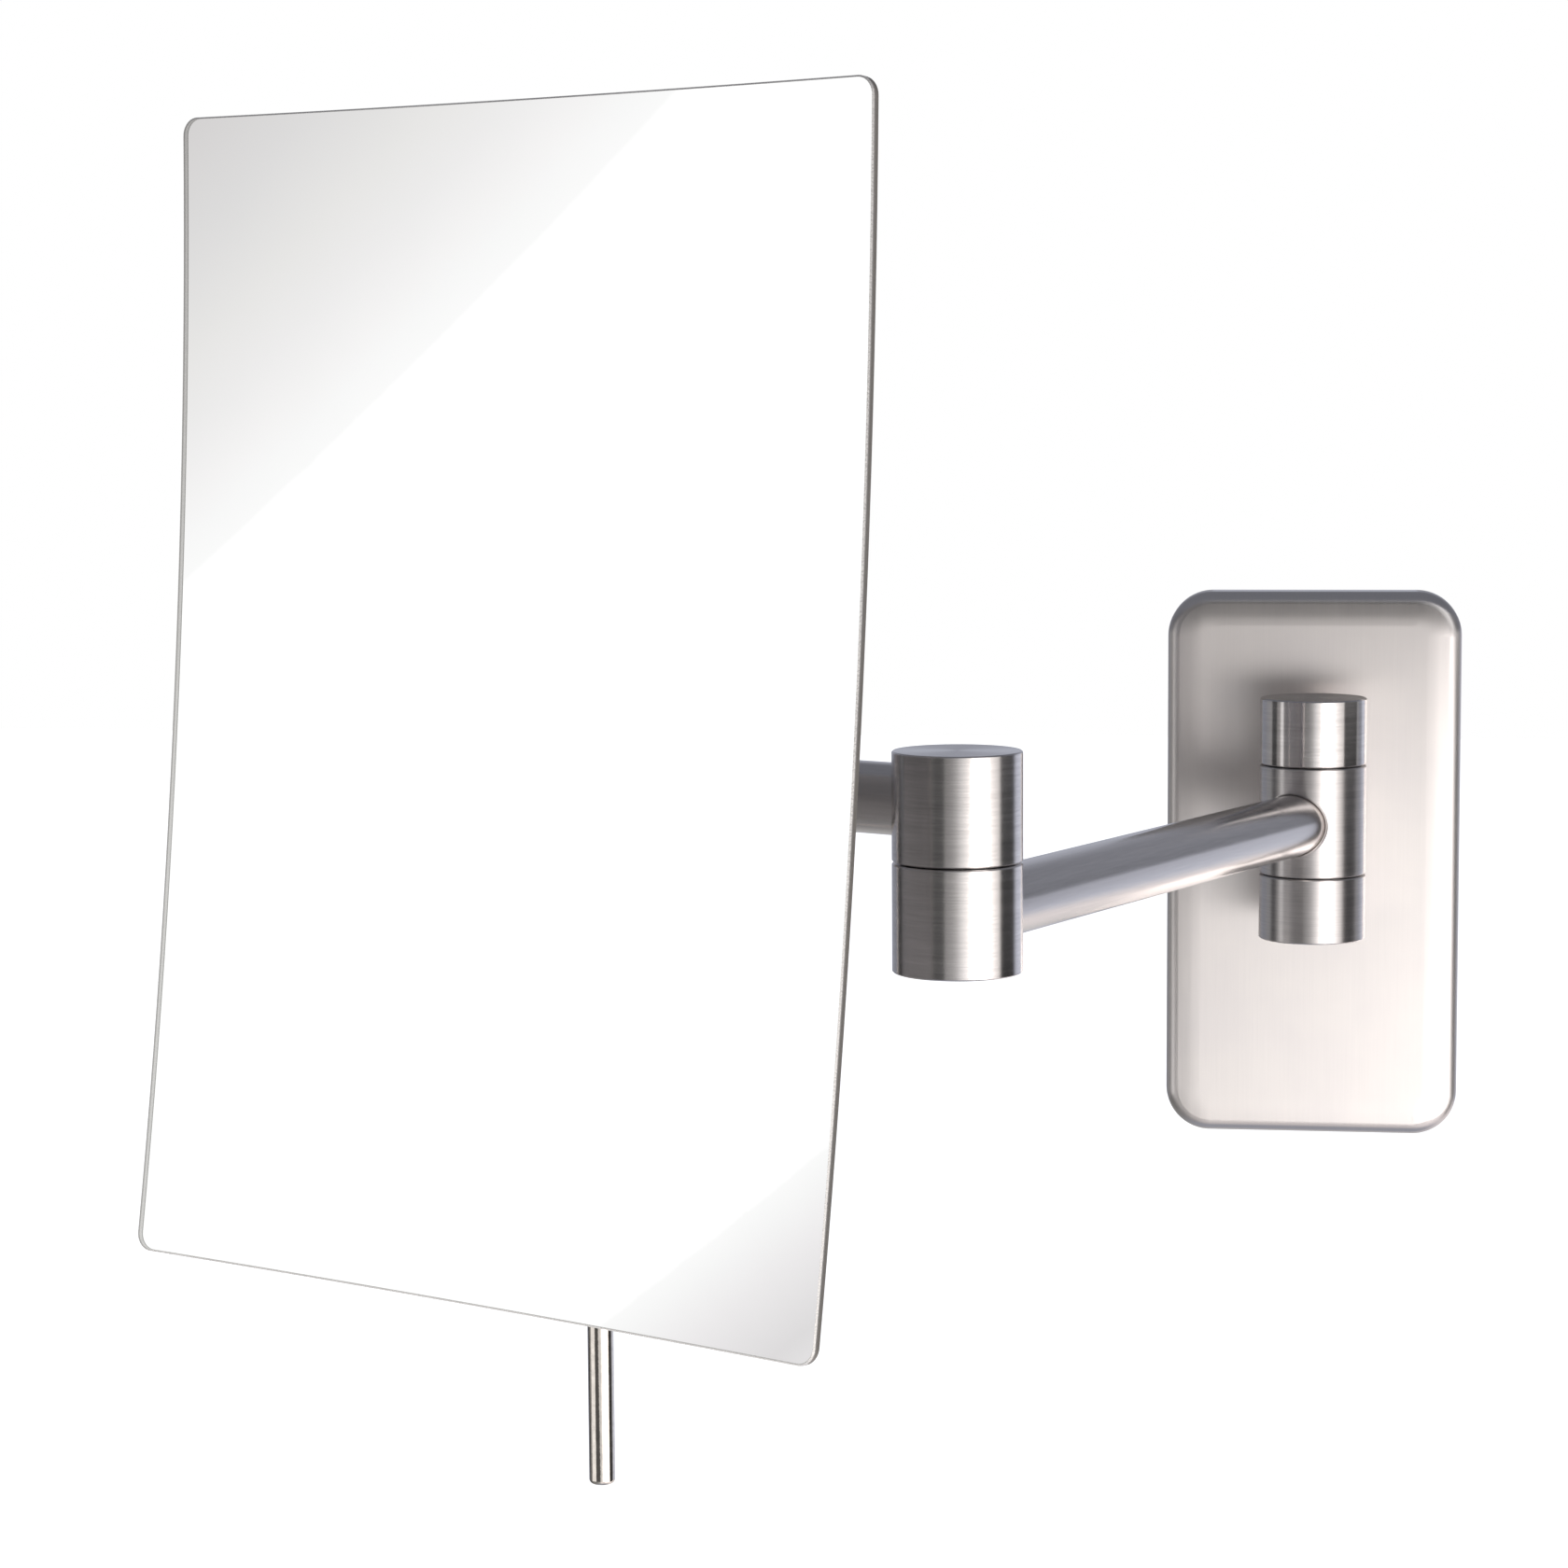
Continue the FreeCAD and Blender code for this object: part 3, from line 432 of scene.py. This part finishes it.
def bump(tree, shader, height, distance):
    """Bump of the whole surface, its depth given in metres."""
    node = tree.nodes.new("ShaderNodeBump")
    node.inputs["Distance"].default_value = distance
    node.inputs["Strength"].default_value = 1.0
    tree.links.new(height, node.inputs["Height"])
    tree.links.new(node.outputs["Normal"], shader.inputs["Normal"])


def spread_along(tree, shader, vector):
    """Reflections spread along this direction, given on the piece, across the brushed lines."""
    turn = tree.nodes.new("ShaderNodeVectorTransform")
    turn.vector_type = "VECTOR"
    turn.convert_from = "OBJECT"
    turn.convert_to = "WORLD"
    tree.links.new(vector, turn.inputs[0])
    tree.links.new(turn.outputs[0], shader.inputs["Tangent"])


def vector_maths(tree, operation, first, second=(0, 0, 0)):
    """Vector math node; first and second are outputs or plain vectors."""
    node = tree.nodes.new("ShaderNodeVectorMath")
    node.operation = operation
    for value, socket in ((first, node.inputs[0]), (second, node.inputs[1])):
        if hasattr(value, "is_linked"):
            tree.links.new(value, socket)
        else:
            socket.default_value = value
    return node.outputs[1 if operation == "LENGTH" else 0]


STAIN_SCALE = 60.0
STAIN_RANGE = (0.35, 0.65)
STAIN_COLOUR = (0.965, 0.965, 0.975, 1)


def finish_brushed(tree, shader, lines, colour, contrast, roughness, depth):
    """Colour, roughness and bump from a pattern of brushed lines."""
    shader.inputs["Metallic"].default_value = 1.0
    coords = tree.nodes.new("ShaderNodeTexCoord").outputs["Object"]
    blotch = noise(tree, coords, STAIN_SCALE, 3.0)
    tone = tones_of(tree, lines, colour, 1 - contrast, 1 + contrast)
    stain = remap(tree, blotch, *STAIN_RANGE, 0.0, 1.0)
    shade = mix(tree, stain, STAIN_COLOUR, (1, 1, 1, 1))
    tree.links.new(mix(tree, 1.0, tone, shade, "MULTIPLY"), shader.inputs["Base Color"])
    rough = stretch(tree, lines, roughness * 0.9, roughness * 1.12)
    tree.links.new(rough, shader.inputs["Roughness"])
    bump(tree, shader, lines, depth)


def turned_metal(name, colour, centre, roughness, anisotropy, contrast, depth):
    """Metal turned on a lathe about the upright axis through centre: fine lines run round it."""
    material, tree, shader = new_material(name)
    shader.inputs["Anisotropic"].default_value = anisotropy
    coords = tree.nodes.new("ShaderNodeTexCoord")
    place = vector_maths(tree, "SUBTRACT", coords.outputs["Object"], (centre.x, centre.y, 0))
    outwards = vector_maths(tree, "MULTIPLY", place, (1, 1, 0))
    radius = vector_maths(tree, "LENGTH", outwards)
    split = tree.nodes.new("ShaderNodeSeparateXYZ")
    tree.links.new(place, split.inputs[0])
    across = maths(tree, "ADD", split.outputs["Z"], radius)
    pattern = tree.nodes.new("ShaderNodeCombineXYZ")
    scaled = (
        (split.outputs["X"], TURNED_LENGTHWISE),
        (split.outputs["Y"], TURNED_LENGTHWISE),
        (across, TURNED_CROSSWISE),
    )
    for socket, (value, scale) in zip(pattern.inputs, scaled):
        tree.links.new(maths(tree, "MULTIPLY", value, scale), socket)
    fine = noise(tree, pattern.outputs[0], 1.0, 3.0, 0.6)
    coarse = noise(tree, pattern.outputs[0], 0.25, 2.0)
    lines = blend_of(tree, fine, coarse, 0.6)
    finish_brushed(tree, shader, lines, colour, contrast, roughness, depth)
    round_it = vector_maths(tree, "CROSS_PRODUCT", outwards, (0, 0, 1))
    spread_along(tree, shader, vector_maths(tree, "CROSS_PRODUCT", coords.outputs["Normal"], round_it))
    return material


def brushed_plate(name, colour, roughness, anisotropy, contrast, depth):
    """Plate brushed up and down."""
    material, tree, shader = new_material(name)
    shader.inputs["Anisotropic"].default_value = anisotropy
    fine = noise(tree, object_point(tree, PLATE_LINES), 1.0, 3.0, 0.6)
    coarse = noise(tree, object_point(tree, tuple(s * 0.3 for s in PLATE_LINES)), 1.0, 2.0)
    lines = blend_of(tree, fine, coarse, 0.7)
    finish_brushed(tree, shader, lines, colour, contrast, roughness, depth)
    coords = tree.nodes.new("ShaderNodeTexCoord")
    across = vector_maths(tree, "CROSS_PRODUCT", coords.outputs["Normal"], BRUSHED_WAY)
    spread_along(tree, shader, across)
    return material


def satin_tube(name, colour, along, roughness):
    """Drawn tube: faint lines along its length."""
    material, tree, shader = new_material(name)
    shader.inputs["Metallic"].default_value = 1.0
    coords = tree.nodes.new("ShaderNodeTexCoord")
    mapping = tree.nodes.new("ShaderNodeMapping")
    mapping.vector_type = "TEXTURE"
    mapping.inputs["Rotation"].default_value = (0, 0, math.atan2(along.y, along.x))
    mapping.inputs["Scale"].default_value = tuple(1 / count for count in TUBE_LINES)
    tree.links.new(coords.outputs["Object"], mapping.inputs["Vector"])
    lines = noise(tree, mapping.outputs["Vector"], 1.0, 3.0, 0.6)
    tree.links.new(tones_of(tree, lines, colour, 0.95, 1.04), shader.inputs["Base Color"])
    rough = stretch(tree, lines, roughness * 0.9, roughness * 1.15)
    tree.links.new(rough, shader.inputs["Roughness"])
    bump(tree, shader, lines, TUBE_BUMP)
    return material


def plain_metal(name, colour, roughness, grain=900):
    """Plated steel with a fine cloudy grain."""
    material, tree, shader = new_material(name)
    shader.inputs["Metallic"].default_value = 1.0
    grains = noise(tree, object_point(tree, (grain, grain, grain)), 1.0, 4.0)
    tree.links.new(tones_of(tree, grains, colour, 0.85, 1.08), shader.inputs["Base Color"])
    rough = stretch(tree, grains, roughness * 0.8, roughness * 1.25)
    tree.links.new(rough, shader.inputs["Roughness"])
    bump(tree, shader, grains, PLATING_BUMP)
    return material


def soft_surface(name, colour, roughness, grain=700, depth=0.00003):
    """Paint, plastic or foam with a fine grain."""
    material, tree, shader = new_material(name)
    grains = noise(tree, object_point(tree, (grain, grain, grain)), 1.0, 4.0)
    tree.links.new(tones_of(tree, grains, colour, 0.85, 1.15), shader.inputs["Base Color"])
    rough = stretch(tree, grains, roughness * 0.9, roughness * 1.1)
    tree.links.new(rough, shader.inputs["Roughness"])
    bump(tree, shader, grains, depth)
    return material


def dress(material, *names):
    """Give CAD nodes a material."""
    for name in names:
        slots = NODES[name].data.materials
        if not slots:
            slots.append(material)
        for index in range(len(slots)):
            slots[index] = material


def direction(joint_from, joint_to):
    """Level direction from one joint to another."""
    start, end = Vector(joint(joint_from)["pos_m"]), Vector(joint(joint_to)["pos_m"])
    along = end - start
    along.z = 0
    return along.normalized()


NICKEL = (0.70, 0.665, 0.65)
PLATE_NICKEL = (0.76, 0.72, 0.70)
ROD_NICKEL = (0.80, 0.74, 0.68)
ZINC = (0.60, 0.61, 0.62)
ACETAL = (0.03, 0.03, 0.032)
BACKING_PAINT = (0.26, 0.25, 0.245)
FOAM = (0.04, 0.04, 0.04)
TUBE_ROUGHNESS = 0.20
# how strongly each barrel's reflections spread, how much its lines vary, and their depth in metres
BARREL_FINISH = (0.75, 0.12, 0.000005)
PLATE_FINISH = (0.72, 0.02, 0.0000008)
TURNED_LENGTHWISE = 160
TURNED_CROSSWISE = 3600
# lines to the metre: across, through and along the brushing, and along and across a tube
PLATE_LINES = (4200, 900, 55)
TUBE_LINES = (120, 2600, 2600)
TUBE_BUMP = 0.000003
PLATING_BUMP = 0.00001
# a hair off upright, so that the plate's level top and bottom sides still have a direction across them
BRUSHED_WAY = (0, 0.03, 1)


def dress_nodes():
    """Give every CAD node its material, except the glass, which make_glass replaces."""
    dress(brushed_plate("plate_nickel", PLATE_NICKEL, 0.32, *PLATE_FINISH), "wall_cover")
    # name, the joint it is turned about, roughness, nodes
    barrels = [
        ("upper_cap", "wall_swivel", 0.18, ("post_cap_upper",)),
        ("lower_post", "wall_swivel", 0.32, ("post_cap_lower", "post_knuckle")),
        ("elbow", "elbow_swivel", 0.24, ("elbow_lower_barrel", "elbow_upper_barrel")),
        ("head", "head_swivel", 0.24, ("head_knuckle", "head_yoke", "rod_collar")),
    ]
    for label, joint_name, roughness, names in barrels:
        centre = Vector(joint(joint_name)["pos_m"])
        metal = turned_metal(label + "_nickel", NICKEL, centre, roughness, *BARREL_FINISH)
        dress(metal, *names)
    main_along = direction("wall_swivel", "elbow_swivel")
    short_along = direction("elbow_swivel", "head_swivel")
    dress(satin_tube("main_tube_nickel", NICKEL, main_along, TUBE_ROUGHNESS), "main_arm_tube")
    dress(satin_tube("short_tube_nickel", NICKEL, short_along, TUBE_ROUGHNESS), "short_arm_tube")
    dress(plain_metal("rod_nickel", ROD_NICKEL, 0.07), "handle_rod")
    dress(
        plain_metal("zinc", ZINC, 0.36),
        "wall_bracket", "stiffener_plate", "standoff_screws", "standoff_washers",
        "cover_set_screw", "tilt_bracket", "mounting_plate", "bracket_rivets", "tilt_bolt",
        "tilt_nut", "tilt_spring_washer", "collar_grub_screw", "post_spindle", "elbow_spindle",
        "elbow_nut", "elbow_spring_washer", "post_spring_washer", "head_spring_washer",
        "main_arm_pins", "short_arm_pins", "post_standoffs",
    )
    dress(
        soft_surface("acetal", ACETAL, 0.45),
        "post_friction_washers", "elbow_friction_washer", "head_friction_washer",
        "tilt_friction_washers", "post_bushes", "elbow_bush", "head_bush", "post_plug", "elbow_plug",
    )
    dress(soft_surface("backing_paint", BACKING_PAINT, 0.42, 500), "mirror_backing")
    dress(soft_surface("foam", FOAM, 0.85, 1500, 0.0001), "glue_pad")


# ---------------------------------------------------------------- mirror glass

GLASS_WIDTH = 165.1
GLASS_HEIGHT = 226.1
GLASS_CORNER_R = 3.5
GLASS_THICKNESS = 1.9
GLASS_CURVE_R = 1540.0
GLASS_TILT = math.radians(5.33)
PIVOT_TO_GLASS = 14.66
ARRIS = 0.30
BACK_ARRIS = 0.25
CORNER_STEPS = 10
SIDE_STEPS = 24
RING_SHARES = [0.12, 0.24, 0.36, 0.48, 0.6, 0.7, 0.8, 0.88, 0.94, 0.98]
# painted refraction: how far the front face is painted with the ground edge as it looks through the
# glass, beyond the arris: left, right, bottom, top
PAINTED_EDGE_VIEW = (1.25, 0.02, 0.18, 0.08)
# where along the ground edge the lighter band ends, and the shares of the painted edge view's width at
# its three loops
EDGE_LIGHT_SHARE = 0.32
PAINTED_EDGE_VIEW_SHARES = (1.0, 0.8, 0.3)
HAZE_SCALE = 35
SILVER_DULL = (0.985, 0.988, 0.985, 1)
SILVER_CLEAR = (0.995, 0.995, 0.993, 1)
SILVER_ROUGHNESS = (0.004, 0.012)
GRINDING_MARKS = 2500
GRINDING_BUMP = 0.000004
# finish numbers, from the front of the glass to its back
# the pale and grey edge finishes are painted refraction: the ground edge's look through the glass,
# drawn on the front face
SILVER, PAINTED_EDGE_PALE, PAINTED_EDGE_GREY, BEVEL, EDGE_LIGHT, EDGE, EDGE_DARK, BACK = range(8)


def silvered_glass():
    """Silvered glass: nearly perfect, with a trace of haze."""
    material, tree, shader = new_material("silvered_glass")
    shader.inputs["Metallic"].default_value = 1.0
    haze = noise(tree, object_point(tree, (HAZE_SCALE,) * 3), 1.0, 3.0)
    tone = mix(tree, stretch(tree, haze, 0.0, 1.0), SILVER_DULL, SILVER_CLEAR)
    tree.links.new(tone, shader.inputs["Base Color"])
    tree.links.new(stretch(tree, haze, *SILVER_ROUGHNESS), shader.inputs["Roughness"])
    return material


def ground_glass(name, colour, roughness, metallic=0.0):
    """Ground edge of the glass, with fine grinding marks."""
    material, tree, shader = new_material(name)
    shader.inputs["Metallic"].default_value = metallic
    marks = noise(tree, object_point(tree, (GRINDING_MARKS,) * 3), 1.0, 4.0, 0.65)
    tree.links.new(tones_of(tree, marks, colour, 0.9, 1.1), shader.inputs["Base Color"])
    rough = stretch(tree, marks, roughness * 0.85, roughness * 1.15)
    tree.links.new(rough, shader.inputs["Roughness"])
    bump(tree, shader, marks, GRINDING_BUMP)
    return material


def glass_finishes():
    """The glass's materials, in the order of the finish numbers."""
    return [
        silvered_glass(),
        # these two are painted refraction: the ground edge as it looks through the glass
        ground_glass("painted_edge_through_glass", (0.62, 0.615, 0.60), 0.25, 1.0),
        ground_glass("painted_edge_line", (0.40, 0.395, 0.38), 0.25, 1.0),
        ground_glass("polished_bevel", (0.88, 0.84, 0.80), 0.28, 0.25),
        ground_glass("edge_front", (0.36, 0.33, 0.31), 0.40),
        ground_glass("ground_edge", (0.20, 0.18, 0.16), 0.45),
        ground_glass("edge_back", (0.13, 0.12, 0.11), 0.45),
        ground_glass("silver_back", (0.25, 0.24, 0.235), 0.50),
    ]


def outline(left, right, bottom, top):
    """Points round the glass, inset by these distances, counter-clockwise seen from the front."""
    radius = GLASS_CORNER_R - min(left, right, bottom, top)
    centre_x, centre_y = (left - right) / 2, (bottom - top) / 2
    half_w = (GLASS_WIDTH - left - right) / 2 - radius
    half_h = (GLASS_HEIGHT - bottom - top) / 2 - radius
    corners = ((1, 1), (-1, 1), (-1, -1), (1, -1))
    points = []
    for index in range(4):
        arcs = []
        for corner in (index, (index + 1) % 4):
            side, rise = corners[corner]
            angles = [math.pi / 2 * (corner + k / CORNER_STEPS) for k in range(CORNER_STEPS + 1)]
            arcs.append([(
                centre_x + side * half_w + radius * math.cos(angle),
                centre_y + rise * half_h + radius * math.sin(angle),
            ) for angle in angles])
        points += arcs[0]
        start, end = arcs[0][-1], arcs[1][0]
        for k in range(1, SIDE_STEPS):
            share = k / SIDE_STEPS
            points.append(tuple(a + (b - a) * share for a, b in zip(start, end)))
    return points


def shrunk(points, share):
    """Points drawn in towards the middle of the glass."""
    return [(x * share, y * share) for x, y in points]


def make_glass():
    """The concave glass with its ground and bevelled edge, as one closed mesh."""
    tilt = joint("head_tilt")
    pivot = Vector(tilt["pos_m"]) / MM
    side = Vector(tilt["axis"]).normalized()
    up = Matrix.Rotation(-GLASS_TILT, 3, side) @ Vector((0, 0, 1))
    facing = side.cross(up)
    curve_centre = pivot + facing * (PIVOT_TO_GLASS + GLASS_CURVE_R)

    def place(point, depth):
        """World place of a point of the outline at a depth behind the curved front."""
        radius = GLASS_CURVE_R + depth
        drop = math.sqrt(radius ** 2 - point[0] ** 2 - point[1] ** 2)
        return (curve_centre + side * point[0] + up * point[1] - facing * drop) * MM

    def loop_at(points, depth):
        return [place(point, depth) for point in points]

    rim = outline(0, 0, 0, 0)
    arris = outline(ARRIS, ARRIS, ARRIS, ARRIS)
    # front strips painted with the ground edge's look through the glass, a different width on each side
    painted_edge_view = [outline(*(ARRIS + share * w for w in PAINTED_EDGE_VIEW)) for share in PAINTED_EDGE_VIEW_SHARES]
    back = outline(BACK_ARRIS, BACK_ARRIS, BACK_ARRIS, BACK_ARRIS)
    loops = [(loop_at(shrunk(painted_edge_view[0], share), 0), SILVER, False) for share in RING_SHARES]
    loops += [
        (loop_at(painted_edge_view[0], 0), SILVER, False),
        (loop_at(painted_edge_view[1], 0), PAINTED_EDGE_GREY, False),
        (loop_at(painted_edge_view[2], 0), PAINTED_EDGE_PALE, False),
        (loop_at(arris, 0), PAINTED_EDGE_GREY, True),
        (loop_at(rim, ARRIS), BEVEL, True),
        (loop_at(rim, GLASS_THICKNESS * EDGE_LIGHT_SHARE), EDGE_LIGHT, False),
        (loop_at(rim, GLASS_THICKNESS - BACK_ARRIS), EDGE, True),
        (loop_at(back, GLASS_THICKNESS), EDGE_DARK, True),
    ]
    loops += [(loop_at(shrunk(back, s), GLASS_THICKNESS), BACK, False) for s in reversed(RING_SHARES)]

    mesh = bmesh.new()
    rings = [[mesh.verts.new(v) for v in points] for points, finish, sharp in loops]
    count = len(rings[0])
    for inner, outer, (points, finish, sharp) in zip(rings, rings[1:], loops[1:]):
        for k in range(count):
            after = (k + 1) % count
            face = mesh.faces.new((inner[k], outer[k], outer[after], inner[after]))
            face.material_index = finish
            face.smooth = True
    for ring, depth, finish in ((rings[0], 0, SILVER), (rings[-1], GLASS_THICKNESS, BACK)):
        centre = mesh.verts.new(place((0, 0), depth))
        for k in range(count):
            face = mesh.faces.new((centre, ring[k], ring[(k + 1) % count]))
            face.material_index = finish
            face.smooth = True
    for ring, (points, finish, sharp) in zip(rings, loops):
        for k in range(count):
            mesh.edges.get((ring[k], ring[(k + 1) % count])).smooth = not sharp
    bmesh.ops.recalc_face_normals(mesh, faces=mesh.faces)
    data = bpy.data.meshes.new("bevelled_glass")
    mesh.to_mesh(data)
    mesh.free()
    for material in glass_finishes():
        data.materials.append(material)
    centre = curve_centre * MM
    normals = [corner.vector.copy() for corner in data.corner_normals]
    for face in data.polygons:
        if face.material_index in (SILVER, PAINTED_EDGE_PALE, PAINTED_EDGE_GREY):
            for corner in face.loop_indices:
                point = data.vertices[data.loops[corner].vertex_index].co
                normals[corner] = (centre - point).normalized()
    data.normals_split_custom_set(normals)

    glass = bpy.data.objects.new("bevelled_glass", data)
    bpy.context.scene.collection.objects.link(glass)
    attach(glass, "mirror_head")
    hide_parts("mirror_glass")


# ---------------------------------------------------------------- build

make_camera()
make_world()
make_floor()
for card_name, card_shape in CARDS.items():
    make_card(card_name, *card_shape)
make_key_light()
dress_nodes()
make_glass()

bpy.context.scene.view_settings.view_transform = "Standard"
